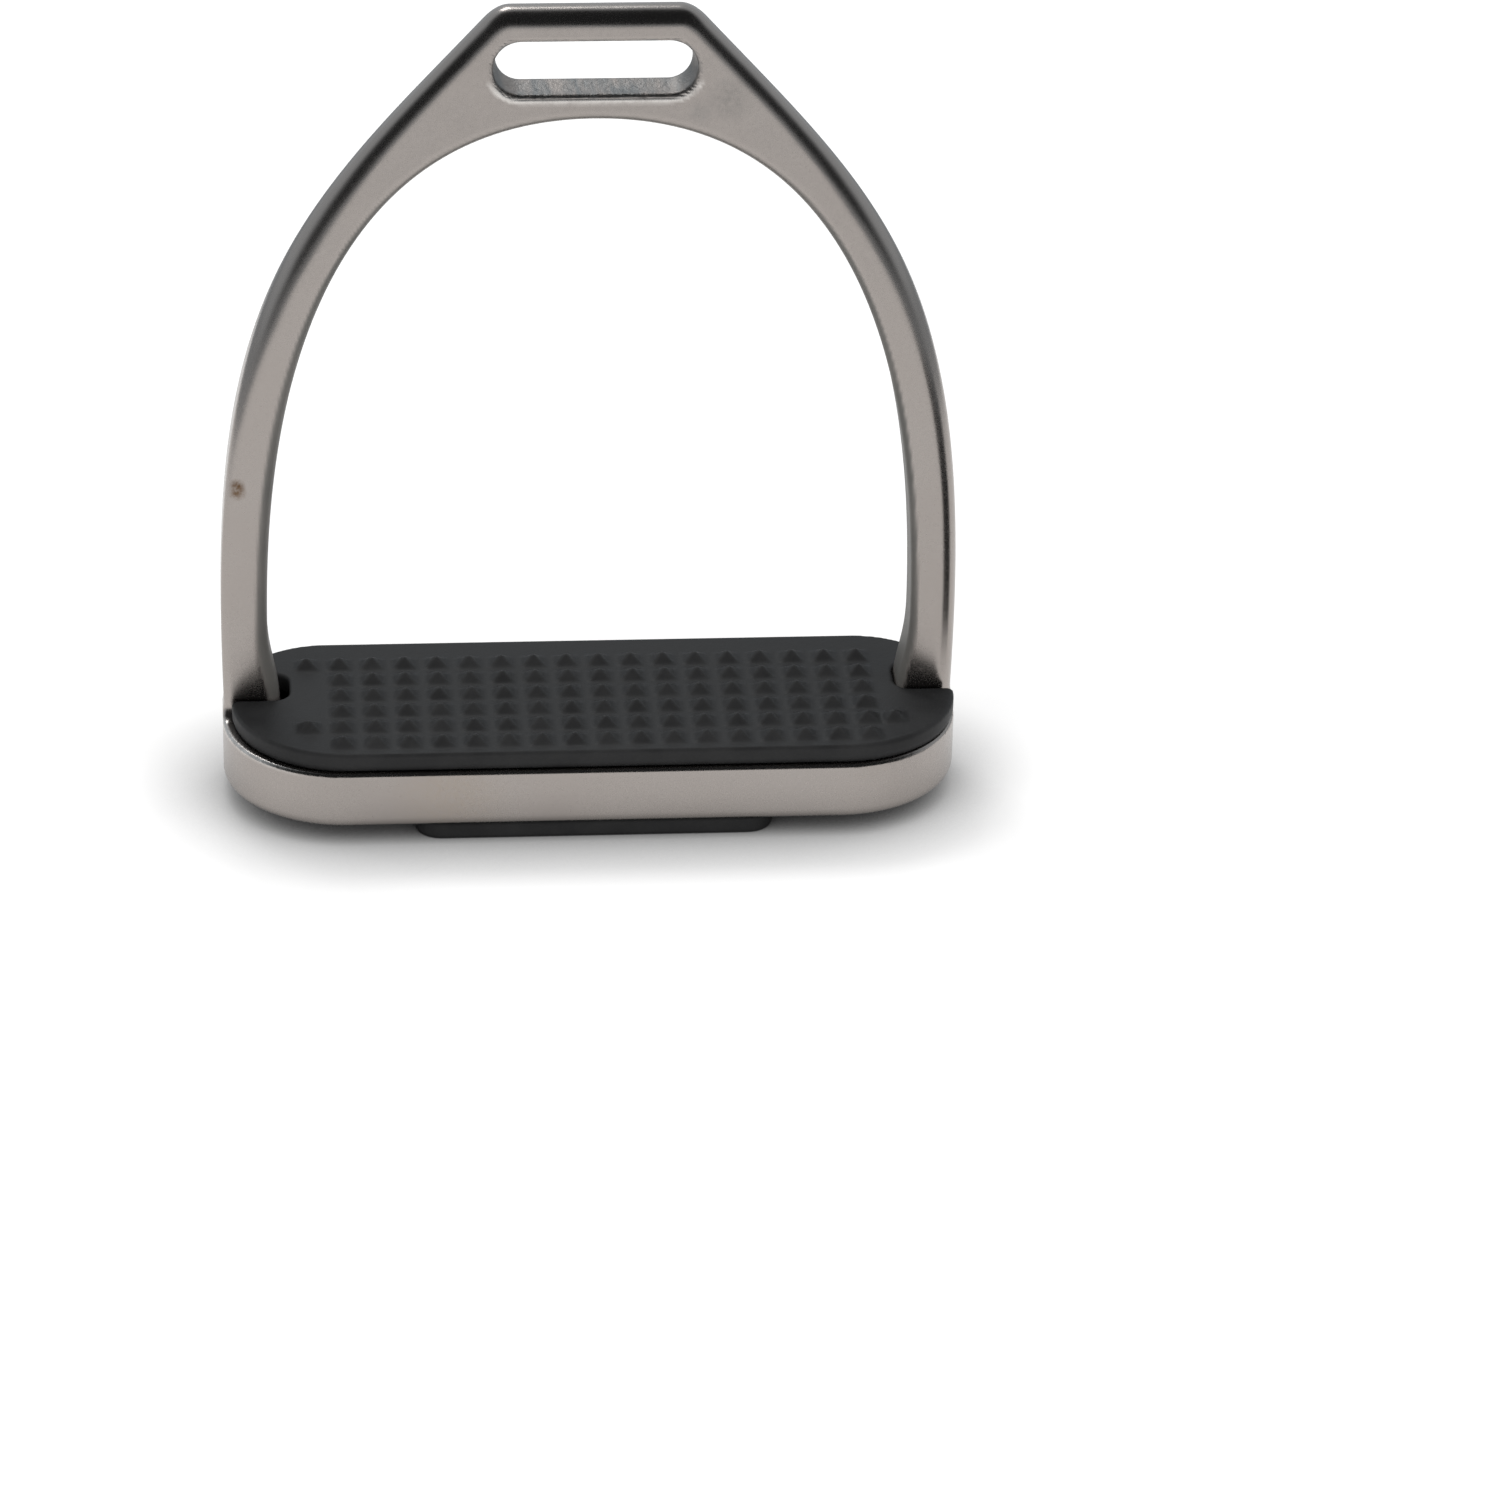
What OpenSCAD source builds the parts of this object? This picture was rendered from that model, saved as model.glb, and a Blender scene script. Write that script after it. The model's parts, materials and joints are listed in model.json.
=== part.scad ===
// Stirrup iron with an exchangeable rubber tread.
// The iron is one casting: eye, two branches and an open, tray-shaped footplate.
// The tread is one moulding: studded pad, neck through the footplate, and two wings under it.
// X runs along the footplate, Y across it (front is -Y), Z up. The wings' underside is z = 0.

/* [Iron] */
// Widest room for the boot between the branches
foot_room = 121.8; // [100:0.2:146.4]
// Overall height, from the underside of the tread to the top of the eye
overall_h = 157.4; // [131:0.2:189]
// Width of a branch, seen from the front
bar_w = 8.7; // [7.2:0.1:10.5]
// Front-to-back depth of a branch where it meets the footplate
bar_depth = 9.8; // [8.1:0.1:11.8]
// How far the branches and the eye stand behind the footplate's centre line
arch_offset = 5.5; // [0:0.1:6]

/* [Eye] */
// Length of the slot for the stirrup leather, end to end
slot_l = 37.2; // [31:0.1:44.7]
// Height of that slot, which is also the diameter of its round ends
slot_h = 10.3; // [8.5:0.1:12.4]
// Metal above the slot
eye_top = 5.9; // [4.9:0.1:7.1]
// Metal between the slot and the arch below it
eye_base = 5.1; // [4.2:0.1:6.2]
// Front-to-back thickness of the eye
eye_t = 7.0; // [5.8:0.1:8.4]

/* [Footplate] */
// Front-to-back depth of the footplate
plate_depth = 46.4; // [38.6:0.1:55.8]
// Height of the footplate's outer wall
plate_h = 11.4; // [9.5:0.1:13.7]
// Thickness of the outer wall
plate_wall = 3.0; // [2.5:0.1:3.6]
// Thickness of the floor round the opening
plate_floor = 2.8; // [2.3:0.1:3.4]
// Rounding of the wall's bottom edge
edge_r = 2.2; // [1:0.1:2.7]
// Length of the opening in the floor
opening_l = 90.8; // [75.6:0.2:98]
// Width of the opening in the floor
opening_w = 24.6; // [20.5:0.1:29.6]

/* [Tread] */
// Thickness of the pad above the rim
pad_t = 3.7; // [3:0.1:4.5]
// How far the pad's outline lies inside the footplate's
pad_inset = 0.9; // [0.5:0.1:1.5]
// How far the neck runs past the straight part of the opening, at each end
neck_past = 4.1; // [0:0.1:4.9]
// Wall of the neck round the pocket under it
neck_wall = 5.7; // [4.7:0.1:6.9]
// Rubber left between the pocket and the top of the pad
pocket_roof = 5.4; // [4.5:0.1:6.5]
// How far the wings stop short of each end of the neck
wing_short = 3.4; // [2.8:0.1:6]
// How far the wings' long edges lie inside the footplate's outer faces
wing_inset = 1.9; // [1.6:0.1:2.3]
// Thickness of each wing
wing_t = 3.6; // [3:0.1:4.3]
// Spacing of the studs, both ways
stud_pitch = 6.3; // [5.2:0.1:7.6]
// Side of a stud's square base
stud_base = 4.6; // [3.8:0.1:5]
// Height of a stud
stud_h = 1.6; // [1.3:0.1:2]
// Room left between the tread and the iron
clearance = 0.3; // [0.2:0.05:0.5]
// Gap between the wings and the footplate's underside
wing_gap = 0.2; // [0.1:0.05:0.3]

/* [Hidden] */
$fn = 96;
over = 1;                                   // how far a cut runs past a face

// Levels, from the ground up
floor_z = wing_t + wing_gap;                // underside of the footplate
tray_z = floor_z + plate_floor;             // top of the footplate's floor
rim_z = floor_z + plate_h;                  // top of the footplate's wall
pad_z = rim_z + pad_t;                      // top of the pad, between the studs
slot_z = overall_h - eye_top - slot_h / 2;  // middle of the leather slot
apex_z = slot_z - slot_h / 2 - eye_base;    // top of the arch's inside

// Footplate and tread outlines, all with round ends on the same two centres
plate_r = plate_depth / 2;
half_in = foot_room / 2;
half_out = half_in + bar_w;
end_x = half_out - plate_r;
tray_r = plate_r - plate_wall;
pad_r = plate_r - pad_inset;
block_end = 1.6;                            // the pad's block stops this far short of the feet
block_over = 0.5;                           // and runs this far up into the pad
block_r = tray_r - clearance;
neck_l = opening_l - opening_w + 2 * neck_past;
neck_w = opening_w - 2 * clearance;
neck_corner = 3;
pocket_l = neck_l - 2 * neck_wall;
pocket_w = neck_w - 2 * neck_wall;
pocket_top = pad_z - pocket_roof;
wing_corner = 5;
wing_l = neck_l - 2 * wing_short;
wing_span = plate_depth - 2 * wing_inset;

// Foot of a branch, and the notch that the pad leaves for it
foot_grow = 2.7;                            // how much wider a foot is than its branch
foot_root_z = floor_z + plate_floor / 2;
foot_start = 10;                            // the foot's curve leaves the branch this far down
foot_end = 8;                               // and turns upright this far above the rim
foot_lean = 1.4;                            // how far a foot's outer face leans in at its root
foot_in = half_in - foot_grow;
notch_gap = 0.9;                            // room in front of the foot and behind it
notch_end_gap = 1.7;                        // room at the foot's inner side
notch_in = foot_in - notch_end_gap;
notch_w = bar_depth + 2 * notch_gap;
notch_corner = 3.5;

// Arch outlines: the corner where the eye's flat top turns down, then one curve down to
// the widest place and a straight run to the foot
corner_x = slot_l / 2 + 1.8;
corner_drop = 2.8;
corner_len = 5;
widest_z = 34;
eye_edge = 2.4;                             // rounding of the eye's edges
bar_round = 0.44;                           // a branch's corners, as a share of its width
bar_round_deep = 0.42;                      // and as a share of its depth
crown_steps = 8;
side_steps = 17;
foot_steps = 5;
corner_steps = 3;                           // steps in each rounded corner of a section

// Stud field
margin = 3.2;                               // smooth border at the pad's long sides, at least
columns = floor((end_x + pad_r / 2) / stud_pitch);
rows = 2 * floor((pad_r - margin) / stud_pitch);
stud_foot = 0.3;                            // how far the studs reach down into the pad
end_row = 1.5;                              // row, counted from the middle, of each end stud

// A point on the cubic curve with control points p, at t
function curve(p, t) =
    pow(1 - t, 3) * p[0] + 3 * pow(1 - t, 2) * t * p[1] + 3 * (1 - t) * t * t * p[2] + pow(t, 3) * p[3];

// Right-hand half of the arch's inside, apex to widest place. The two shares say how far the
// curve runs level at the apex and how far it stands upright at the side.
inner_run = 0.684;
inner_rise = 0.623;
inner_drop = apex_z - widest_z;
inner_curve = [
    [0, apex_z],
    [half_in * inner_run, apex_z],
    [half_in, widest_z + inner_drop * inner_rise],
    [half_in, widest_z]
];

// Right-hand half of the arch's outside, eye corner to widest place. The curve leaves the
// corner along the slope from the corner to (run, fall), and ends upright over its rise.
outer_run = 0.652;
outer_fall = 0.294;
outer_rise = 0.582;
outer_drop = overall_h - corner_drop - widest_z;
outer_span = half_out - corner_x;
outer_curve = [
    [corner_x, overall_h - corner_drop],
    [corner_x + outer_span * outer_run, overall_h - corner_drop - outer_drop * outer_fall],
    [half_out, widest_z + outer_drop * outer_rise],
    [half_out, widest_z]
];

// Inside of a branch from the widest place down to its root
foot_curve = [
    [half_in, widest_z],
    [half_in, widest_z - foot_start],
    [foot_in, rim_z + foot_end],
    [foot_in, foot_root_z]
];
crown_share = 0.184;                        // share of the inner curve that lies under the eye
crown_pace = 0.7;                           // below 1, stations lie closer at the eye's corner
side_pace = 1.2;                            // above 1, inner points lie closer under the shoulder
blend_pace = 1.5;                           // the eye's flat section is a round bar after 1 / 1.5
foot_round_loss = 1.4;                      // a foot's corners get this much tighter at its root

// Stations run from the middle of the eye (0) to the root of a branch.
// Each is [inner point, outer point, depth, corner size across, corner size in depth].
function crown_top(x) =
    let (start = corner_x - corner_len, u = max(0, (x - start) / corner_len))
    overall_h - corner_drop * u * u;
function crown_station(i) =
    let (
        u = pow(i / crown_steps, crown_pace),
        inner = curve(inner_curve, crown_share * u),
        x = corner_x * u
    )
    [inner, [x, crown_top(x)], eye_t, eye_edge, eye_edge];
function side_station(i) =
    let (
        u = i / side_steps,
        inner = curve(inner_curve, crown_share + (1 - crown_share) * pow(u, side_pace)),
        outer = curve(outer_curve, u),
        blend = min(1, u * blend_pace),
        depth = eye_t + (bar_depth - eye_t) * blend,
        width = norm(outer - inner)
    )
    [inner, outer, depth, eye_edge + (width * bar_round - eye_edge) * blend,
        eye_edge + (depth * bar_round_deep - eye_edge) * blend];
function foot_station(i) =
    let (
        u = i / foot_steps,
        inner = curve(foot_curve, u),
        outer = [half_out - foot_lean * u * u, inner[1]],
        width = norm(outer - inner)
    )
    [inner, outer, bar_depth, width * bar_round - foot_round_loss * u, bar_depth * bar_round_deep];
half_arch = concat(
    [for (i = [0:crown_steps - 1]) crown_station(i)],
    [for (i = [0:side_steps]) side_station(i)],
    [for (i = [1:foot_steps]) foot_station(i)]
);

// The rounded outline of one station, as points in space. side is 1 or -1.
function section(s, side) =
    let (
        width = norm(s[1] - s[0]),
        along = (s[1] - s[0]) / width,
        reach = [width - s[3], s[3]],
        deep = s[2] / 2 - s[4],
        corners = [[1, 1], [1, -1], [-1, -1], [-1, 1]]
    )
    [
        for (c = [0:3])
            for (k = [0:corner_steps])
                let (
                    turn = corners[c][0] * corners[c][1] > 0 ? k : corner_steps - k,
                    angle = 90 * turn / corner_steps,
                    a = (corners[c][0] > 0 ? reach[0] : reach[1]) + corners[c][0] * s[3] * sin(angle),
                    y = corners[c][1] * (deep + s[4] * cos(angle)),
                    p = s[0] + a * along
                )
                [side * p[0], arch_offset + y, p[1]]
    ];

// The two triangles between points j and j + 1 of stations i and i + 1, n points to a station
function patch(i, j, n) =
    let (a = i * n + j, b = i * n + (j + 1) % n)
    [[b, a, b + n], [b + n, a, a + n]];

// Sweep of the whole arch, from the root of the left branch to the root of the right one
module arch() {
    last = len(half_arch) - 1;
    stations = concat(
        [for (i = [last:-1:1]) section(half_arch[i], -1)],
        [for (i = [0:last]) section(half_arch[i], 1)]
    );
    n = len(stations[0]);
    m = len(stations);
    polyhedron(
        points = [for (s = stations) for (p = s) p],
        faces = concat(
            [[for (j = [0:n - 1]) j]],
            [for (i = [0:m - 2]) for (j = [0:n - 1]) each patch(i, j, n)],
            [[for (j = [n - 1:-1:0]) (m - 1) * n + j]]
        )
    );
}

// Bar with round ends on centres at +-half, from z0 up to z1
module stadium(half, r, z0, z1) {
    translate([0, 0, z0]) {
        for (side = [-1, 1])
            translate([side * half, 0, 0]) cylinder(h = z1 - z0, r = r);
        translate([-half, -r, 0]) cube([2 * half, 2 * r, z1 - z0]);
    }
}

// Rectangle with rounded corners, centred, from z0 up to z1
module rounded_block(l, w, r, z0, z1) {
    translate([0, 0, z0]) linear_extrude(z1 - z0) {
        square([l - 2 * r, w], center = true);
        square([l, w - 2 * r], center = true);
        for (sx = [-1, 1])
            for (sy = [-1, 1])
                translate([sx * (l / 2 - r), sy * (w / 2 - r)]) circle(r);
    }
}

// Section through the footplate's outer wall, solid to the middle, bottom edge rounded
module plate_profile() {
    translate([0, floor_z + edge_r]) square([plate_r, plate_h - edge_r]);
    translate([0, floor_z]) square([plate_r - edge_r, edge_r]);
    translate([plate_r - edge_r, floor_z + edge_r]) circle(edge_r);
}

module footplate() {
    difference() {
        union() {
            for (side = [-1, 1])
                translate([side * end_x, 0, 0]) rotate_extrude() plate_profile();
            for (side = [0, 180])
                rotate([0, 0, side]) rotate([90, 0, 90])
                    linear_extrude(2 * end_x, center = true) plate_profile();
        }
        stadium(end_x, tray_r, tray_z, rim_z + over);
        stadium((opening_l - opening_w) / 2, opening_w / 2, floor_z - over, tray_z + over);
    }
}

// One casting: the eye and both branches above, the footplate below
module iron() {
    color("silver") difference() {
        union() {
            arch();
            footplate();
        }
        translate([0, arch_offset + eye_t, slot_z]) rotate([90, 0, 0])
            stadium((slot_l - slot_h) / 2, slot_h / 2, 0, 2 * eye_t);
    }
}

// Notch in the end of the pad, open outwards, round at its inner corners
module foot_notch(side) {
    translate([side * (notch_in + half_out) / 2, arch_offset, 0]) {
        rounded_block(half_out - notch_in, notch_w, notch_corner, rim_z - over, pad_z + over);
        translate([side * notch_corner * 2, 0, 0])
            rounded_block(half_out - notch_in, notch_w, 1, rim_z - over, pad_z + over);
    }
}

// Pyramids on a square grid: long ridges one way, cut by long ridges the other way
module ridges(count, length) {
    rotate([90, 0, 0]) linear_extrude(length, center = true)
        for (i = [0:count - 1])
            translate([(i - (count - 1) / 2) * stud_pitch, 0])
                polygon([
                    [-stud_base / 2, -stud_foot], [stud_base / 2, -stud_foot],
                    [stud_base / 2, 0], [0, stud_h], [-stud_base / 2, 0]
                ]);
}

module studs() {
    field_w = rows * stud_pitch;
    column_l = (2 * columns + 1) * stud_pitch;
    translate([0, 0, pad_z]) intersection() {
        ridges(2 * columns + 1, field_w);
        rotate([0, 0, 90]) ridges(rows, column_l);
        union() {
            cube([column_l - 2 * stud_pitch, field_w, 4 * stud_h], center = true);
            for (side = [-1, 1])
                translate([side * columns * stud_pitch, -end_row * stud_pitch, 0])
                    cube([stud_pitch, stud_pitch, 4 * stud_h], center = true);
        }
    }
}

// The moulded tread without its wings
module tread_pad() {
    color("dimgray") difference() {
        union() {
            difference() {
                stadium(end_x, pad_r, rim_z, pad_z);
                for (side = [-1, 1])
                    foot_notch(side);
            }
            stadium(foot_in - block_end - block_r, block_r, tray_z + clearance, rim_z + block_over);
            rounded_block(neck_l, neck_w, neck_corner, 0, tray_z + over);
            studs();
        }
        translate([-pocket_l / 2, -pocket_w / 2, -over]) cube([pocket_l, pocket_w, pocket_top + over]);
    }
}

// One wing: a flat strip under the footplate, grown on the neck's long side.
// It folds down when the tread is pushed out through the opening.
module wing(side) {
    depth = (wing_span - neck_w) / 2;
    translate([0, side * (neck_w + depth) / 2, 0]) intersection() {
        translate([0, -side * wing_corner, 0])
            rounded_block(wing_l, depth + 2 * wing_corner, wing_corner, 0, wing_t);
        translate([-wing_l / 2, -depth / 2, 0]) cube([wing_l, depth, wing_t]);
    }
}

module front_wing() { color("dimgray") wing(-1); }
module rear_wing() { color("dimgray") wing(1); }

iron();
tread_pad();
front_wing();
rear_wing();
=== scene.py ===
"""Stirrup iron with a studded rubber tread: the looks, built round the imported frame.

Each visible piece is one mesh taken from a distance field: a function that gives, for any point,
how far it lies outside the piece's skin (negative inside). Fields join with rounded seams, as the
metal of a casting and the rubber of a moulding do. Lengths in the fields are millimetres.
"""
import json
import math

import bpy
import numpy as np
from mathutils import Matrix, Vector


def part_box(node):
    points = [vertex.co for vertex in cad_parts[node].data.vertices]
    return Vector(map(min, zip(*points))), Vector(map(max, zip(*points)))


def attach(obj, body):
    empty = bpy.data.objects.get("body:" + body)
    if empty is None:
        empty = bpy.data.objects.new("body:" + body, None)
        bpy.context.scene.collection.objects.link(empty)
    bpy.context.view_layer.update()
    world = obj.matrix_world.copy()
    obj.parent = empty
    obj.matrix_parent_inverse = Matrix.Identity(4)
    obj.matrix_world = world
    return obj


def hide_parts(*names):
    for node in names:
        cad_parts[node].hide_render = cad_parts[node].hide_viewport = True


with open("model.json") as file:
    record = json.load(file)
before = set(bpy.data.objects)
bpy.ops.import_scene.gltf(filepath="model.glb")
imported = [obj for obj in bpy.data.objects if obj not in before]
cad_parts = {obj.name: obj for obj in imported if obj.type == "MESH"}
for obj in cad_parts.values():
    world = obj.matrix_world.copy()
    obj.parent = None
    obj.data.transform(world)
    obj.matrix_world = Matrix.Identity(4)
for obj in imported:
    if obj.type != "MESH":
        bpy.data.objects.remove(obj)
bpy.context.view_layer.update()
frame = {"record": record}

# ---------------------------------------------------------------- sizes, in millimetres
MM = 1000.0


def node_box(node):
    low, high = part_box(node)
    return np.array(low) * MM, np.array(high) * MM


iron_low, iron_high = node_box("iron")
pad_low, pad_high = node_box("tread_pad")
wing_low, wing_high = node_box("front_wing")
slot_mount = next(m for m in frame["record"]["mounts"] if m["name"] == "leather_slot")

top_z = iron_high[2]
half_out = iron_high[0]                       # outer faces of the branches
plate_r = iron_high[1]                        # footplate's round ends
end_x = half_out - plate_r                    # centres of those ends
plate_z = iron_low[2]                         # footplate's underside
arch_y = slot_mount["pos_m"][1] * MM
slot_z = slot_mount["pos_m"][2] * MM
slot_r = slot_mount["dims"]["hole_r_mm"]
slot_half = slot_mount["dims"]["slot_length_mm"] / 2 - slot_r

BAR_W = 8.7                                   # a branch, seen from the front
BAR_DEEP = 9.8
EYE_DEEP = 7.0
APEX_Z = 136.1                                # top of the arch's inside
WIDEST_Z = 34.0
PLATE_H = 11.4
WALL = 3.0
FLOOR = 2.8
STUD_H = 1.9
STUD_BASE = 4.6
PITCH = 6.3
PITCH_X = 6.2
PAD_T = 3.7
OPENING_HALF, OPENING_R = 33.1, 12.3
NECK_HALF, NECK_R = 37.2, 12.0
PAD_X = 0.8                                   # the pad lies this far to the right on its plate
STUDS_X, STUDS_Y = 2.3, -2.0                  # the mould's stud field sits this far off centre

half_in = half_out - BAR_W
rim_z = plate_z + PLATE_H
tray_z = plate_z + FLOOR
tray_r = plate_r - WALL
pad_r = pad_high[1]
pad_z = rim_z + PAD_T
foot_in = half_in - 2.7

# ---------------------------------------------------------------- field arithmetic


def round_max(a, b, r):
    """What lies in both fields, its sharp edge rounded to r."""
    corner = np.hypot(np.maximum(a + r, 0), np.maximum(b + r, 0))
    return np.minimum(np.maximum(a, b), -r) + corner


def blend_min(a, b, r):
    """What lies in either field, with a soft fillet about r wide in the seam."""
    h = np.clip(0.5 + 0.5 * (b - a) / r, 0, 1)
    return b + (a - b) * h - r * h * (1 - h)


def obround(u, v, half, r):
    """Round-ended bar: outside distance in the plane of u and v."""
    return np.hypot(np.maximum(np.abs(u) - half, 0), v) - r


def rounded_rectangle(u, v, half_u, half_v, r):
    a = np.abs(u) - half_u + r
    b = np.abs(v) - half_v + r
    return np.hypot(np.maximum(a, 0), np.maximum(b, 0)) + np.minimum(np.maximum(a, b), 0) - r


def ramp(value, start, end):
    t = np.clip((value - start) / (end - start), 0, 1)
    return t * t * (3 - 2 * t)


# ---------------------------------------------------------------- the arch's two outlines


def cubic(points, count):
    t = np.linspace(0, 1, count)[:, None]
    a, b, c, d = (np.array(p, float) for p in points)
    return (1 - t) ** 3 * a + 3 * (1 - t) ** 2 * t * b + 3 * (1 - t) * t * t * c + t ** 3 * d


def outer_line():
    """Right-hand outside of the arch, from the eye's flat top round its corner and down to the root."""
    corner_x, drop, bend = slot_half + slot_r + 1.8, 2.8, 5.0
    top = np.linspace(-3, corner_x, 60)
    crown = np.stack([top, top_z - drop * np.maximum(0, (top - corner_x + bend) / bend) ** 2], 1)
    span, fall = half_out - corner_x, top_z - drop - WIDEST_Z
    side = cubic([
        (corner_x, top_z - drop),
        (corner_x + 0.652 * span, top_z - drop - 0.294 * fall),
        (half_out, WIDEST_Z + 0.582 * fall),
        (half_out, WIDEST_Z),
    ], 260)
    down = np.linspace(0, 1, 60)[1:]
    root = np.stack([half_out - 1.4 * down ** 2, WIDEST_Z + (-4 - WIDEST_Z) * down], 1)
    return np.concatenate([crown, side[1:], root])


def inner_line():
    """Right-hand inside of the arch, from its apex down to the foot's inner face."""
    rise = APEX_Z - WIDEST_Z
    arch = cubic([
        (0, APEX_Z),
        (0.684 * half_in, APEX_Z),
        (half_in, WIDEST_Z + 0.623 * rise),
        (half_in, WIDEST_Z),
    ], 300)
    foot = cubic([(half_in, WIDEST_Z), (half_in, WIDEST_Z - 10), (foot_in, rim_z + 8), (foot_in, tray_z)], 60)
    return np.concatenate([[(-3, APEX_Z)], arch, foot[1:], [(foot_in, -4)]])


TABLE_STEP = 0.5
TABLE_X = np.arange(-1.5, half_out + 6, TABLE_STEP)
TABLE_Z = np.arange(-3, top_z + 6, TABLE_STEP)


def distance_table(line):
    """Signed distance to an open line over the table's grid, positive on the line's left."""
    start, along = line[:-1], np.diff(line, axis=0)
    length2 = (along ** 2).sum(1)
    grid = np.stack(np.meshgrid(TABLE_X, TABLE_Z, indexing="ij"), -1).reshape(-1, 2)
    found = np.empty(len(grid))
    for part in np.array_split(np.arange(len(grid)), 80):
        away = grid[part, None] - start
        t = np.clip((away * along).sum(-1) / length2, 0, 1)
        off2 = ((away - t[..., None] * along) ** 2).sum(-1)
        near = off2.argmin(1)
        row = np.arange(len(part))
        side = along[near, 0] * away[row, near, 1] - along[near, 1] * away[row, near, 0]
        found[part] = np.sqrt(off2[row, near]) * np.sign(side)
    return found.reshape(len(TABLE_X), len(TABLE_Z))


def read_table(table, x, z):
    """The table at x, z by cubic interpolation, so that the skin it gives is smooth."""
    weights, cells = [], []
    for value, axis in ((x, TABLE_X), (z, TABLE_Z)):
        u = (value - axis[0]) / TABLE_STEP
        i = np.clip(np.floor(u).astype(int), 1, len(axis) - 3)
        f = np.clip(u - i, 0, 1)
        weights.append([
            f * (-0.5 + f * (1 - 0.5 * f)),
            1 + f * f * (-2.5 + 1.5 * f),
            f * (0.5 + f * (2 - 1.5 * f)),
            f * f * (-0.5 + 0.5 * f),
        ])
        cells.append(i)
    total = 0
    for a in range(4):
        for b in range(4):
            total = total + weights[0][a] * weights[1][b] * table[cells[0] + a - 1, cells[1] + b - 1]
    return total


outer_table = distance_table(outer_line())
inner_table = -distance_table(inner_line())

# ---------------------------------------------------------------- the fields


def edge_radii(x, z):
    """Rounding of the arch's outer and inner edges: ground by hand, each branch's right side is the rounder."""
    left = 1 - ramp(x, -10, 10)
    outer = 3.2 + 0.9 * ramp(z, 140, 112) - ramp(z, 105, 50) * (0.7 + 2.1 * left)
    return outer, 1.6 + 1.2 * left * ramp(z, 130, 60)


def slot_field(x, y, z):
    """The leather slot, a little narrower at the back, as it leaves the mould."""
    return obround(x, z - slot_z, slot_half, slot_r) + 0.6 * ramp(y, arch_y - 2, arch_y + 3.5)


def iron_field(x, y, z):
    """One casting: eye, branches and the open footplate."""
    side = np.abs(x)
    bar = ramp(z, 150, 84)
    deep = np.abs(y - arch_y) - (EYE_DEEP + (BAR_DEEP - EYE_DEEP) * bar) / 2
    outer_edge, inner_edge = edge_radii(x, z)
    arch = np.maximum(round_max(read_table(outer_table, side, z), deep, outer_edge),
                      round_max(read_table(inner_table, side, z), deep, inner_edge))
    arch = np.maximum(arch, plate_z + 1.5 - z)

    plan = obround(x, y, end_x, plate_r)
    outside = round_max(round_max(plan, plate_z - z, 1.8), z - rim_z, 0.5)
    tray = round_max(obround(x, y, end_x, tray_r), tray_z - z, 1.0)
    plate = round_max(outside, -tray, 0.9)
    plate = round_max(plate, -obround(x, y, OPENING_HALF, OPENING_R), 0.8)

    body = blend_min(arch, plate, 3.0)
    body = np.maximum(body, side - half_out)
    return round_max(body, -slot_field(x, y, z), 0.6 + 0.2 * ramp(z, slot_z, slot_z - 4) * ramp(y, arch_y, arch_y - 2))


def studs(x, y, z):
    """Square pyramids on a square grid, with one odd stud beyond each end of the field."""
    u = x - STUDS_X
    column = np.round(u / PITCH_X)
    across = y - STUDS_Y
    row = np.round(across / PITCH - 0.5)
    u = np.abs(u - column * PITCH_X + np.where(column == 9, 1.1, 0))
    v = np.abs(across - (row + 0.5) * PITCH)
    slope = math.atan2(STUD_H, STUD_BASE / 2)
    rise = (z - pad_z - STUD_H) * math.cos(slope)
    pyramid = round_max(rise + u * math.sin(slope), rise + v * math.sin(slope), 0.25)
    inside = (np.abs(column) <= 8) & (row >= -3) & (row <= 2)
    lone = ((np.abs(column) == 9) & (row == -2)) | ((column == -9) & (row == 2))
    return np.where(inside | lone, np.maximum(pyramid, pad_z - 0.4 - z), 9.0)


def pad_field(x, y, z):
    """The studded pad, its block in the tray, and the hollow neck."""
    moved = x - PAD_X
    undercut = 0.25 * ramp(z, rim_z + 1.2, rim_z + 0.3)
    front = obround(moved, y, end_x, pad_r)
    rear = rounded_rectangle(moved, y, end_x + pad_r, pad_r + 0.5, 18)
    plan = front + (rear - front) * ramp(y, -4, 10) + undercut
    notch_half = BAR_DEEP / 2 + 0.35
    notch_in = foot_in - 0.5
    notch = rounded_rectangle(np.abs(moved) - notch_in - 15, y - arch_y - 0.2, 15, notch_half, 3.2)
    plan = round_max(plan, -notch, 1.2)
    slab = round_max(round_max(plan, z - pad_z, 0.6), rim_z + 0.02 - z, 0.2)
    slab = blend_min(slab, studs(x, y, z), 0.4)

    block_r = tray_r - 0.3
    block = obround(x, y, foot_in - 1.6 - block_r, block_r)
    block = round_max(np.maximum(block, z - rim_z - 0.5), tray_z + 0.3 - z, 0.8)
    neck = rounded_rectangle(x, y, NECK_HALF, NECK_R, 3.0)
    neck = round_max(np.maximum(neck, z - tray_z - 1), -z, 0.5)
    body = np.minimum(np.minimum(slab, block), neck)
    pocket = rounded_rectangle(x, y, NECK_HALF - 5.7, NECK_R - 5.7, 1.0)
    pocket = np.maximum(pocket, z - pad_z + 5.4)
    return round_max(body, -pocket, 0.5)


def wing_field(sign):
    """One wing of the moulding under the footplate; sign is -1 for the front one."""
    def field(x, y, z):
        out = sign * y
        middle, half = (wing_high[1] + wing_low[1]) / -2, (wing_high[1] - wing_low[1]) / 2
        plan = rounded_rectangle(x, out - middle + 5, wing_high[0], half + 5, 5.0)
        plan = np.maximum(plan, middle - half - out)
        return round_max(round_max(plan, z - wing_high[2], 0.6), -z, 0.6)
    return field


# ---------------------------------------------------------------- from a field to a mesh


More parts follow.
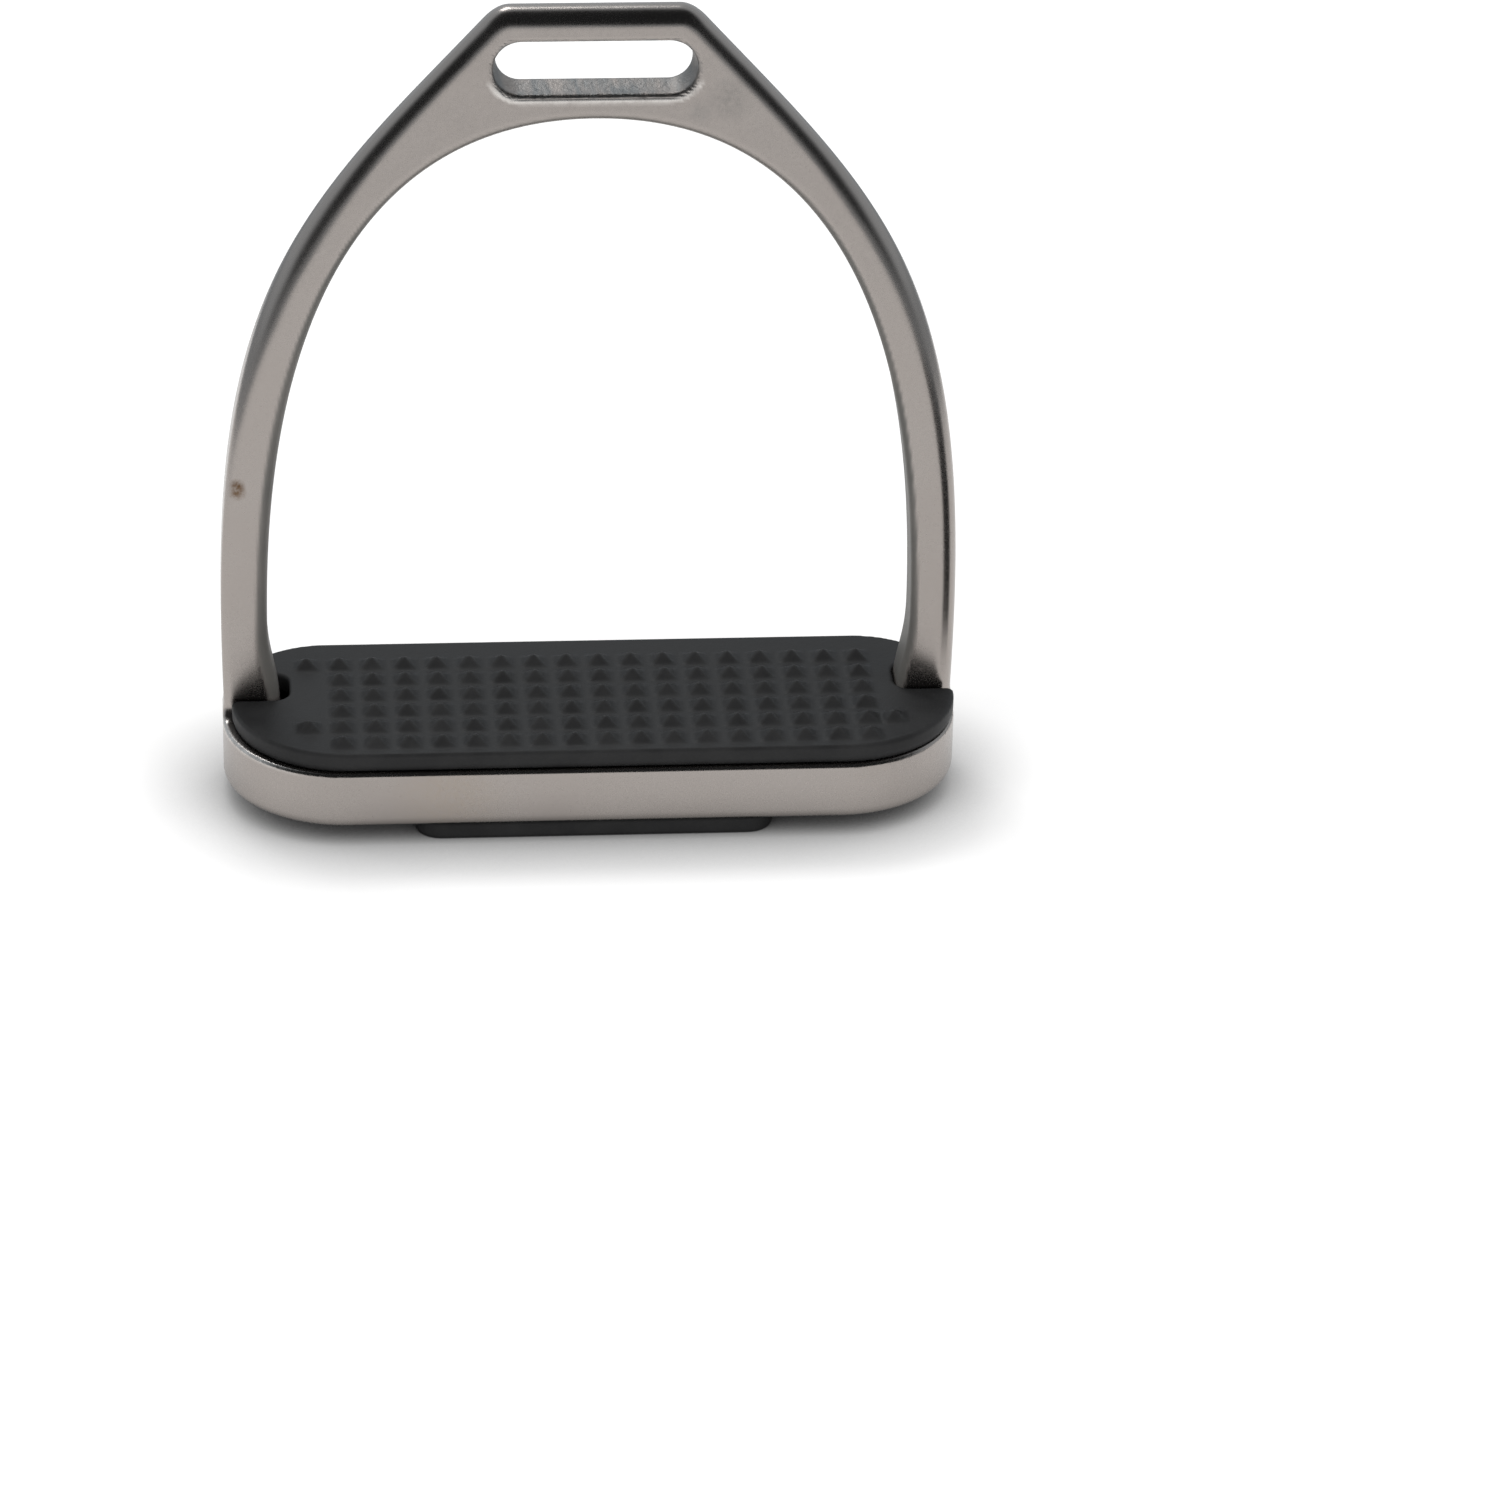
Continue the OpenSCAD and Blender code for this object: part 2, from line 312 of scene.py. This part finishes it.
def on_grid(field, low, step, counts):
    """The field at every grid point, worked out in slabs along x to save memory."""
    y = (low[1] + step * np.arange(counts[1]))[None, :, None]
    z = (low[2] + step * np.arange(counts[2]))[None, None, :]
    full = np.empty(counts, np.float32)
    for part in np.array_split(np.arange(counts[0]), 12):
        x = (low[0] + step * part)[:, None, None]
        full[part] = field(x, y, z)
    return full


def surface_net(values, low, step):
    """Vertices and quads of the zero surface: one vertex in each cell that the surface crosses."""
    inside = values < 0
    shape = np.array(values.shape) - 1
    corners = np.zeros(shape, np.int8)
    for dx in (0, 1):
        for dy in (0, 1):
            for dz in (0, 1):
                corners += inside[dx:shape[0] + dx, dy:shape[1] + dy, dz:shape[2] + dz]
    crossed = (corners > 0) & (corners < 8)
    cells = np.argwhere(crossed)
    number = np.full(shape, -1, np.int64)
    number[crossed] = np.arange(len(cells))

    total = np.zeros((len(cells), 3))
    hits = np.zeros(len(cells))
    for axis in range(3):
        unit = np.eye(3, dtype=int)[axis]
        others = [np.eye(3, dtype=int)[k] for k in range(3) if k != axis]
        for p in (0, 1):
            for q in (0, 1):
                a = cells + p * others[0] + q * others[1]
                va, vb = values[tuple(a.T)], values[tuple((a + unit).T)]
                hit = (va < 0) != (vb < 0)
                share = np.where(hit, va / np.where(hit, va - vb, 1), 0)
                total += np.where(hit[:, None], a + share[:, None] * unit, 0)
                hits += hit
    points = low + step * total / hits[:, None]

    quads = []
    for axis in range(3):
        unit = np.eye(3, dtype=int)[axis]
        u, v = (np.eye(3, dtype=int)[(axis + k) % 3] for k in (1, 2))
        first = inside[tuple(slice(0, n) if k == axis else slice(1, n) for k, n in enumerate(shape))]
        second = inside[tuple(slice(1, n + 1) if k == axis else slice(1, n) for k, n in enumerate(shape))]
        edges = np.argwhere(first != second)
        enters = second[tuple(edges.T)]
        base = edges + (1 - unit)
        ring = np.stack([number[tuple((base - a * u - b * v).T)] for a, b in ((1, 1), (0, 1), (0, 0), (1, 0))], 1)
        quads.append(np.where(enters[:, None], ring[:, ::-1], ring))
    return points, np.concatenate(quads)


def settle(points, quads, field, step, rounds=3):
    """Evens out the vertices over the surface and pulls each one onto it."""
    pairs = np.concatenate([quads[:, [k, (k + 1) % 4]] for k in range(4)])
    degree = np.bincount(pairs[:, 0], minlength=len(points))[:, None]

    def pulled(p):
        for _ in range(3):
            here = field(*p.T)
            h = 0.02
            slope = np.stack([(field(*(p + h * e).T) - field(*(p - h * e).T)) / (2 * h) for e in np.eye(3)], 1)
            move = here / np.maximum((slope ** 2).sum(1), 0.2)
            p = p - np.clip(move, -0.5 * step, 0.5 * step)[:, None] * slope
        return p

    for _ in range(rounds):
        around = np.stack([np.bincount(pairs[:, 0], points[pairs[:, 1], k], len(points)) for k in range(3)], 1)
        points = pulled(points + 0.5 * (around / degree - points))
    return points


def mesh_from_field(name, field, low, high, step, middle=(0, 0, 0)):
    """A smooth-shaded object; the grid is laid so that middle is one of its points."""
    low = np.array(middle) - step * np.ceil((np.array(middle) - low) / step + 2)
    counts = np.ceil((np.array(high) - low) / step).astype(int) + 3
    values = on_grid(field, low, step, counts)
    points, quads = surface_net(values, low, step)
    points = settle(points, quads, field, step)
    mesh = bpy.data.meshes.new(name)
    mesh.from_pydata((points / MM).tolist(), [], quads.tolist())
    mesh.validate()
    mesh.shade_smooth()
    piece = bpy.data.objects.new(name, mesh)
    bpy.context.scene.collection.objects.link(piece)
    print(name, len(points), "vertices", len(quads), "quads")
    return piece


# ---------------------------------------------------------------- materials


class Nodes:
    """A short way to write node materials."""

    def __init__(self, name):
        self.material = bpy.data.materials.new(name)
        self.material.use_nodes = True
        self.tree = self.material.node_tree
        self.shader = self.tree.nodes["Principled BSDF"]
        self.place = self.tree.nodes.new("ShaderNodeTexCoord").outputs["Object"]

    def add(self, kind, **inputs):
        node = self.tree.nodes.new(kind)
        for key, value in inputs.items():
            socket = node.inputs[key.replace("_", " ")]
            if isinstance(value, bpy.types.NodeSocket):
                self.tree.links.new(value, socket)
            else:
                socket.default_value = value
        return node

    def noise(self, scale, detail=2.0, roughness=0.5, place=None):
        node = self.add("ShaderNodeTexNoise", Scale=scale, Detail=detail, Roughness=roughness)
        self.tree.links.new(place or self.place, node.inputs["Vector"])
        return node.outputs["Fac"]

    def spread(self, value, low, high, to_low=0.0, to_high=1.0):
        node = self.tree.nodes.new("ShaderNodeMapRange")
        node.inputs["From Min"].default_value = low
        node.inputs["From Max"].default_value = high
        node.inputs["To Min"].default_value = to_low
        node.inputs["To Max"].default_value = to_high
        self.tree.links.new(value, node.inputs["Value"])
        return node.outputs["Result"]

    def mix(self, factor, a, b):
        node = self.tree.nodes.new("ShaderNodeMix")
        node.data_type = "RGBA"
        self.tree.links.new(factor, node.inputs["Factor"])
        for socket, value in ((node.inputs[6], a), (node.inputs[7], b)):
            if isinstance(value, bpy.types.NodeSocket):
                self.tree.links.new(value, socket)
            else:
                socket.default_value = (*value, 1)
        return node.outputs[2]

    def stretched(self, scale):
        node = self.add("ShaderNodeMapping", Scale=scale)
        self.tree.links.new(self.place, node.inputs["Vector"])
        return node.outputs["Vector"]

    def bump(self, height, strength, distance, onto=None):
        node = self.add("ShaderNodeBump", Strength=strength, Distance=distance)
        self.tree.links.new(height, node.inputs["Height"])
        if onto is not None:
            self.tree.links.new(onto, node.inputs["Normal"])
        return node.outputs["Normal"]

    def attribute(self, name):
        node = self.tree.nodes.new("ShaderNodeAttribute")
        node.attribute_name = name
        return node.outputs["Fac"]

    def math(self, operation, a, b):
        node = self.tree.nodes.new("ShaderNodeMath")
        node.operation = operation
        for socket, value in zip(node.inputs, (a, b)):
            if isinstance(value, bpy.types.NodeSocket):
                self.tree.links.new(value, socket)
            else:
                socket.default_value = value
        return node.outputs[0]

    def times(self, a, b):
        return self.math("MULTIPLY", a, b)

    def mixed(self, a, b):
        return self.times(self.math("ADD", a, b), 0.5)

    def either(self, factor, off, on):
        """off where factor is 0, on where it is 1."""
        node = self.tree.nodes.new("ShaderNodeMix")
        for socket, value in zip(node.inputs[:1] + node.inputs[2:4], (factor, off, on)):
            if isinstance(value, bpy.types.NodeSocket):
                self.tree.links.new(value, socket)
            else:
                socket.default_value = value
        return node.outputs[0]

    def near(self, place, size):
        """1 at a place on the object, fading to 0 at the distance size, both in metres."""
        node = self.tree.nodes.new("ShaderNodeVectorMath")
        node.operation = "DISTANCE"
        self.tree.links.new(self.place, node.inputs[0])
        node.inputs[1].default_value = place
        return self.spread(node.outputs["Value"], 0.25 * size, size, 1.0, 0.0)

    def feed(self, name, value):
        if isinstance(value, bpy.types.NodeSocket):
            self.tree.links.new(value, self.shader.inputs[name])
        else:
            self.shader.inputs[name].default_value = value


# small stains and rubbed places on the casting: where, how far they reach, their colour and how strong
MARKS = [
    ((-0.0661, 0.0006, 0.0640), 0.0017, (0.10, 0.055, 0.025), 1.0),
    ((-0.0661, 0.0006, 0.0626), 0.0019, (0.13, 0.080, 0.045), 0.9),
    ((0.0245, 0.0020, 0.1399), 0.0050, (0.22, 0.21, 0.20), 0.55),
    ((0.0191, 0.0020, 0.1376), 0.0030, (0.24, 0.23, 0.22), 0.5),
    ((-0.0274, -0.0232, 0.0106), 0.0120, (0.34, 0.29, 0.24), 0.5),
    ((0.0505, -0.0200, 0.0146), 0.0050, (0.30, 0.27, 0.24), 0.5),
]


def satin_steel():
    n = Nodes("satin_steel")
    clouds = n.noise(38, 3, 0.55)
    grain = n.noise(1300, 3, 0.6)
    streaks = n.noise(1, 3, 0.6, n.stretched((110, 800, 800)))
    tone = n.mix(n.spread(clouds, 0.3, 0.7), (0.335, 0.304, 0.283), (0.358, 0.328, 0.308))
    bare, wear_and_highlight, inside = n.attribute("as_cast"), n.attribute("wear_and_highlight"), n.attribute("inside")
    # Painted shade: the arch's inner faces get a darker colour and less metal, standing in for the shade and dark
    # reflections on them.
    tone = n.mix(n.times(inside, n.spread(clouds, 0.3, 0.6, 0.75, 1.0)), tone, (0.15, 0.145, 0.135))
    tone = n.mix(n.times(bare, n.spread(n.noise(1, 3, 0.6, n.stretched((420, 90, 90))), 0.35, 0.65)), tone, (0.22, 0.225, 0.225))
    # Painted highlight and wear: the slot's lower front lip and the left front end of the rim are lightened.
    tone = n.mix(n.times(wear_and_highlight, n.spread(n.noise(420, 2, 0.6), 0.3, 0.6, 0.4, 1.0)), tone, (0.66, 0.63, 0.60))
    for place, size, colour, depth in MARKS:
        tone = n.mix(n.times(n.near(place, size), n.spread(n.noise(900, 3, 0.7), 0.35, 0.65, 0.3 * depth, depth)), tone, colour)
    n.feed("Base Color", tone)
    n.feed("Metallic", n.either(inside, 1.0, 0.35))
    n.feed("Roughness", n.either(n.math("MAXIMUM", bare, inside), n.spread(n.mixed(clouds, grain), 0.35, 0.65, 0.23, 0.30), 0.52))
    low_waves = n.bump(n.noise(80, 1, 0.5), 0.20, 0.0006)
    fine = n.bump(streaks, 0.015, 0.0002, low_waves)
    n.feed("Normal", n.bump(n.times(bare, n.noise(700, 3, 0.7)), 0.5, 0.0005, fine))
    return n.material


def black_rubber():
    n = Nodes("black_rubber")
    dust = n.noise(150, 4, 0.6)
    grain = n.noise(2600, 2, 0.6)
    n.feed("Base Color", n.mix(n.spread(dust, 0.35, 0.75), (0.021, 0.021, 0.0215), (0.031, 0.031, 0.0315)))
    n.feed("Roughness", n.spread(dust, 0.3, 0.7, 0.46, 0.60))
    n.feed("Specular IOR Level", 0.15)
    n.feed("Normal", n.bump(grain, 0.25, 0.0001, n.bump(n.noise(380, 2), 0.2, 0.0003)))
    return n.material


# ---------------------------------------------------------------- the pieces

casting = mesh_from_field("steel_casting", iron_field, iron_low, iron_high, 0.55)
x, y, z = np.array([v.co for v in casting.data.vertices]).T * MM
in_slot = 1 - ramp(np.abs(slot_field(x, y, z)), 0.2, 0.6)
in_tray = ramp(z, rim_z - 0.8, rim_z - 1.6) * (1 - ramp(obround(x, y, end_x, tray_r), 0.2, 0.8)) * (z > tray_z - 0.8)
in_opening = (z < tray_z) * (1 - ramp(np.abs(obround(x, y, OPENING_HALF, OPENING_R)), 0.3, 0.8))
rough = casting.data.attributes.new("as_cast", "FLOAT", "POINT")
rough.data.foreach_set("value", np.maximum(np.maximum(in_slot, in_tray), in_opening).astype(np.float32))
# Painted highlight and wear: the lip and rim masks below lighten the slot's lower front edge and the left front end of
# the footplate's rim, as worn edges and as painted highlights.
lip = 1 - ramp(np.abs(obround(x, z - slot_z, slot_half, slot_r) - 1.25), 0.3, 0.65)
lip *= (y < arch_y) * ramp(z, slot_z - 2, slot_z - 4)
rim = (1 - ramp(np.hypot(z - rim_z + 0.2, obround(x, y, end_x, plate_r) + 0.2), 0.2, 0.7)) * ramp(x, -52, -58) * (y < 0)
# Painted shade: this mask darkens and dulls the arch's inner faces above the footplate, at about half strength under
# the eye.
reach = edge_radii(x, z)[1]
under = ramp(read_table(inner_table, np.abs(x), z), -0.85 * reach, -0.55 * reach) * ramp(z, rim_z + 1, rim_z + 5)
under *= 0.45 + 0.55 * ramp(z, 128, 112)
inside = casting.data.attributes.new("inside", "FLOAT", "POINT")
inside.data.foreach_set("value", under.astype(np.float32))
wear_and_highlight = casting.data.attributes.new("wear_and_highlight", "FLOAT", "POINT")
wear_and_highlight.data.foreach_set("value", np.maximum(lip, rim).astype(np.float32))
casting.data.materials.append(satin_steel())
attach(casting, "iron")
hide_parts("iron")

rubber = black_rubber()
pad = mesh_from_field("studded_pad", pad_field, pad_low, pad_high, PITCH / 13, (STUDS_X, PITCH / 2, 0))
front = mesh_from_field("front_wing_rubber", wing_field(-1), wing_low, wing_high, 0.6)
rear_low, rear_high = node_box("rear_wing")
rear = mesh_from_field("rear_wing_rubber", wing_field(1), rear_low, rear_high, 0.6)
for piece, node in ((pad, "tread_pad"), (front, "front_wing"), (rear, "rear_wing")):
    piece.data.materials.append(rubber)
    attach(piece, "tread")
    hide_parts(node)

# ---------------------------------------------------------------- floor, light and camera


def panel(name, width, height, place, aim):
    """A flat rectangle whose face looks at aim."""
    mesh = bpy.data.meshes.new(name)
    w, h = width / 2, height / 2
    mesh.from_pydata([(-w, -h, 0), (w, -h, 0), (w, h, 0), (-w, h, 0)], [], [(0, 1, 2, 3)])
    thing = bpy.data.objects.new(name, mesh)
    thing.matrix_world = looking(place, aim)
    bpy.context.scene.collection.objects.link(thing)
    return thing


def looking(place, aim):
    """Matrix for a thing at place whose -Z axis points to aim."""
    turn = (Vector(aim) - Vector(place)).to_track_quat("-Z", "Y")
    return Matrix.Translation(place) @ turn.to_matrix().to_4x4()


def shines(tree, colour, own, extra):
    """A surface that is diffuse, and adds a glow to what the eye and reflections see of it. Ambient occlusion darkens
    its colour and its glow near other things: a painted contact shadow.
    """
    # Painted contact shadow: ambient occlusion darkens the colour and the glow within 2 cm of other things.
    painted_contact_shadow = tree.nodes.new("ShaderNodeAmbientOcclusion")
    painted_contact_shadow.samples = 8
    painted_contact_shadow.inputs["Color"].default_value = (colour, colour, colour, 1)
    painted_contact_shadow.inputs["Distance"].default_value = 0.020
    diffuse = tree.nodes.new("ShaderNodeBsdfDiffuse")
    tree.links.new(painted_contact_shadow.outputs["Color"], diffuse.inputs["Color"])
    glow = tree.nodes.new("ShaderNodeEmission")
    tree.links.new(painted_contact_shadow.outputs["AO"], glow.inputs["Color"])
    tree.links.new(extra, glow.inputs["Strength"])
    both = tree.nodes.new("ShaderNodeAddShader")
    tree.links.new(diffuse.outputs[0], both.inputs[0])
    tree.links.new(glow.outputs[0], both.inputs[1])
    tree.links.new(both.outputs[0], own.inputs["Surface"])


def seen_rays(tree, off, on):
    """The value on for camera, glossy and transmission rays, off for the others."""
    rays = tree.nodes.new("ShaderNodeLightPath")
    total = rays.outputs["Is Camera Ray"]
    for name in ("Is Glossy Ray", "Is Transmission Ray"):
        either = tree.nodes.new("ShaderNodeMath")
        either.operation = "MAXIMUM"
        tree.links.new(total, either.inputs[0])
        tree.links.new(rays.outputs[name], either.inputs[1])
        total = either.outputs[0]
    level = tree.nodes.new("ShaderNodeMapRange")
    level.inputs["To Min"].default_value = off
    level.inputs["To Max"].default_value = on
    tree.links.new(total, level.inputs["Value"])
    return level.outputs["Result"]


def floor_material():
    """Pale floor; it shows white to the eye and in the metal, and keeps the shadow, with a painted contact shadow
    darkening it close to the iron.
    """
    material = bpy.data.materials.new("pale_floor")
    material.use_nodes = True
    tree = material.node_tree
    tree.nodes.clear()
    shines(tree, 0.86, tree.nodes.new("ShaderNodeOutputMaterial"), seen_rays(tree, 0.0, FLOOR_GLOW))
    return material


FLOOR_GLOW = 0.27

floor = panel("floor", 12, 12, (0, 0, 0), (0, 0, -1))
floor.data.materials.append(floor_material())


def only_reflected(thing, tones, tint=(1, 1, 1)):
    """Makes a stage object that shows in reflections alone, with one tone per vertex."""
    mesh = thing.data
    shade = mesh.attributes.new("shade", "FLOAT", "POINT")
    shade.data.foreach_set("value", np.asarray(tones, np.float32))
    material = bpy.data.materials.new(thing.name)
    material.use_nodes = True
    tree = material.node_tree
    tree.nodes.clear()
    value = tree.nodes.new("ShaderNodeAttribute")
    value.attribute_name = "shade"
    glow = tree.nodes.new("ShaderNodeEmission")
    glow.inputs["Color"].default_value = (*tint, 1)
    tree.links.new(value.outputs["Fac"], glow.inputs["Strength"])
    out = tree.nodes.new("ShaderNodeOutputMaterial")
    tree.links.new(glow.outputs[0], out.inputs["Surface"])
    material.cycles.emission_sampling = "NONE"
    mesh.materials.append(material)
    for kind in ("camera", "diffuse", "transmission", "volume_scatter", "shadow"):
        setattr(thing, "visible_" + kind, False)


def tent(radius=3.0, around=72, up=20):
    """Studio tent: grey cloth behind and above, open to the dark room in front."""
    turn = np.linspace(0, 2 * np.pi, around, endpoint=False)
    lift = np.linspace(-0.02, np.pi / 2, up)
    turn, lift = (a.ravel() for a in np.meshgrid(turn, lift, indexing="ij"))
    ways = np.stack([np.sin(turn) * np.cos(lift), -np.cos(turn) * np.cos(lift), np.sin(lift)], 1)
    quads = []
    for a in range(around):
        b = (a + 1) % around
        quads += [(a * up + k, b * up + k, b * up + k + 1, a * up + k + 1) for k in range(up - 1)]
    mesh = bpy.data.meshes.new("studio_tent")
    mesh.from_pydata((ways * radius).tolist(), [], quads)
    thing = bpy.data.objects.new("studio_tent", mesh)
    bpy.context.scene.collection.objects.link(thing)
    room = np.array([0.0, -0.80, 0.60])
    off = np.degrees(np.arccos(np.clip(ways @ room, -1, 1)))
    only_reflected(thing, TENT_DARK + (TENT_GREY - TENT_DARK) * ramp(off, 58, 84), TENT_TINT)


def table_edge(around=48):
    """Grey floor in reflections beyond the white sheet that the iron stands on."""
    turn = np.linspace(0, 2 * np.pi, around, endpoint=False)
    ring = [(r * math.sin(t), -r * math.cos(t) * (1.7 if r < 1 and math.cos(t) > 0 else 1), 0.002)
            for r in (0.34, 3.1) for t in turn]
    quads = [(k, (k + 1) % around, around + (k + 1) % around, around + k) for k in range(around)]
    mesh = bpy.data.meshes.new("table_edge")
    mesh.from_pydata(ring, [], quads)
    thing = bpy.data.objects.new("table_edge", mesh)
    bpy.context.scene.collection.objects.link(thing)
    only_reflected(thing, [0.40] * len(ring), TENT_TINT)


def dark_card():
    """Black card lying to the right in front; it draws the dark line along the branches' edges."""
    turn = np.radians(np.linspace(32, 80, 13))
    rim = np.concatenate([[(0.068 + r * np.sin(t), r * -np.cos(t), 0.003) for t in turn] for r in (0.05, 0.30)])
    n = len(turn)
    mesh = bpy.data.meshes.new("dark_card")
    mesh.from_pydata(rim.tolist(), [], [(k, k + 1, n + k + 1, n + k) for k in range(n - 1)])
    thing = bpy.data.objects.new("dark_card", mesh)
    bpy.context.scene.collection.objects.link(thing)
    only_reflected(thing, [0.02] * (2 * n))


TENT_DARK, TENT_GREY, TENT_TINT = 0.03, 0.62, (0.93, 1.0, 1.06)
tent()
table_edge()
dark_card()


def lamp(name, width, height, place, aim, power):
    data = bpy.data.lights.new(name, "AREA")
    data.shape = "RECTANGLE"
    data.size, data.size_y = width, height
    data.energy = power
    thing = bpy.data.objects.new(name, data)
    thing.matrix_world = looking(place, aim)
    bpy.context.scene.collection.objects.link(thing)
    return thing


lamp("softbox_behind", 0.55, 0.35, (-0.25, 0.85, 1.15), (0, 0, 0.05), 4.0)
for name, place, power in (("fill_left", (-0.9, -0.9, 0.8), 6.0), ("fill_right", (0.9, -0.7, 0.8), 4.0)):
    lamp(name, 1.0, 0.8, place, (0, 0, 0.05), power).visible_glossy = False

world = bpy.data.worlds.new("studio")
bpy.context.scene.world = world
world.use_nodes = True
world.node_tree.nodes.clear()
glow = world.node_tree.nodes.new("ShaderNodeBackground")
glow.inputs["Color"].default_value = (1, 1, 1, 1)
world.node_tree.links.new(seen_rays(world.node_tree, 0.62, 1.0), glow.inputs["Strength"])
sky = world.node_tree.nodes.new("ShaderNodeOutputWorld")
world.node_tree.links.new(glow.outputs[0], sky.inputs["Surface"])


def make_camera():
    """The photograph's view: long lens, from above and a little to the left, rolled slightly."""
    azimuth, elevation, roll = math.radians(5.28), math.radians(28.55), math.radians(1.4)
    forward = Vector((math.sin(azimuth) * math.cos(elevation), math.cos(azimuth) * math.cos(elevation),
                      -math.sin(elevation)))
    level_right = Vector((math.cos(azimuth), -math.sin(azimuth), 0))
    level_up = level_right.cross(forward)
    right = level_right * math.cos(roll) + level_up * math.sin(roll)
    up = right.cross(forward)
    data = bpy.data.cameras.new("camera")
    data.lens = 157.2
    data.sensor_width = 36
    thing = bpy.data.objects.new("camera", data)
    thing.matrix_world = Matrix((
        (right.x, up.x, -forward.x, -0.0705),
        (right.y, up.y, -forward.y, -1.0967),
        (right.z, up.z, -forward.z, 0.6055),
        (0, 0, 0, 1),
    ))
    bpy.context.scene.collection.objects.link(thing)
    bpy.context.scene.camera = thing


make_camera()
bpy.context.scene.view_settings.view_transform = "Standard"
